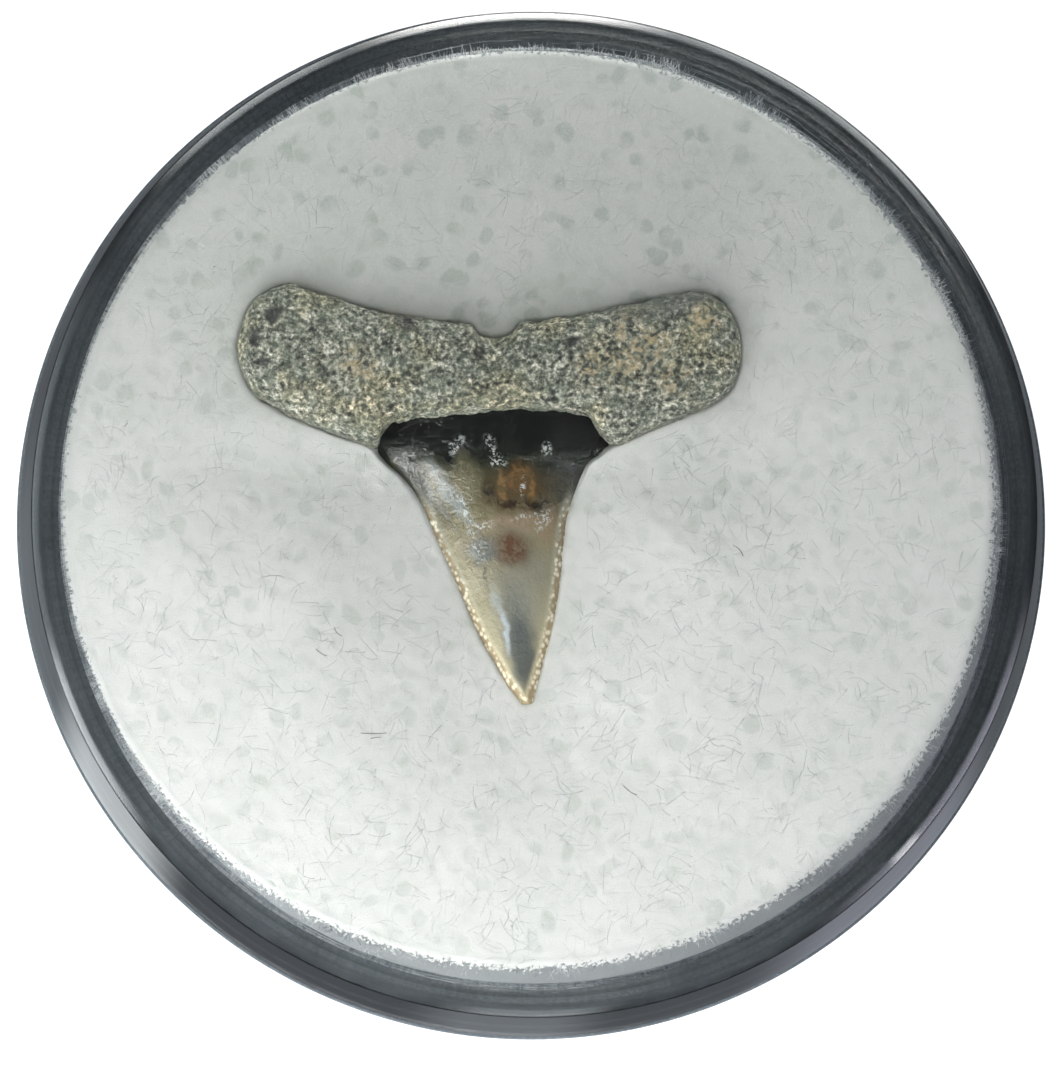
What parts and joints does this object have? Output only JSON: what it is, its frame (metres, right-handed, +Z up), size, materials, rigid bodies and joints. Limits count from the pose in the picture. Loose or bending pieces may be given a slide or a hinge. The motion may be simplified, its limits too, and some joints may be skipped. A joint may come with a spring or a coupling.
{
  "type": "fossil lemon shark tooth",
  "caption": "Fossil shark tooth with a slender serrated crown and a wide two-lobed root, seen tongue side up on a white pad in a small round jar with a clear lid.",
  "frame": {"origin": "centre of the jar on the surface that it stands on", "axes": "+Z up along the jar's axis, the tooth's root towards +Y and its tip towards -Y, +X to the right seen from above"},
  "size_m": [0.032, 0.032, 0.019],
  "materials": {
    "jar_base": "moulded black plastic",
    "jar_lid": "clear moulded plastic",
    "foam_pad": "white fibre wadding",
    "tooth": "grainy fossil bone root and glossy enamel crown"
  },
  "bodies": {
    "root": {"jar_base": "jar_base", "jar_lid": "jar_lid", "foam_pad": "foam_pad", "tooth": "tooth"}
  },
  "joints": []
}
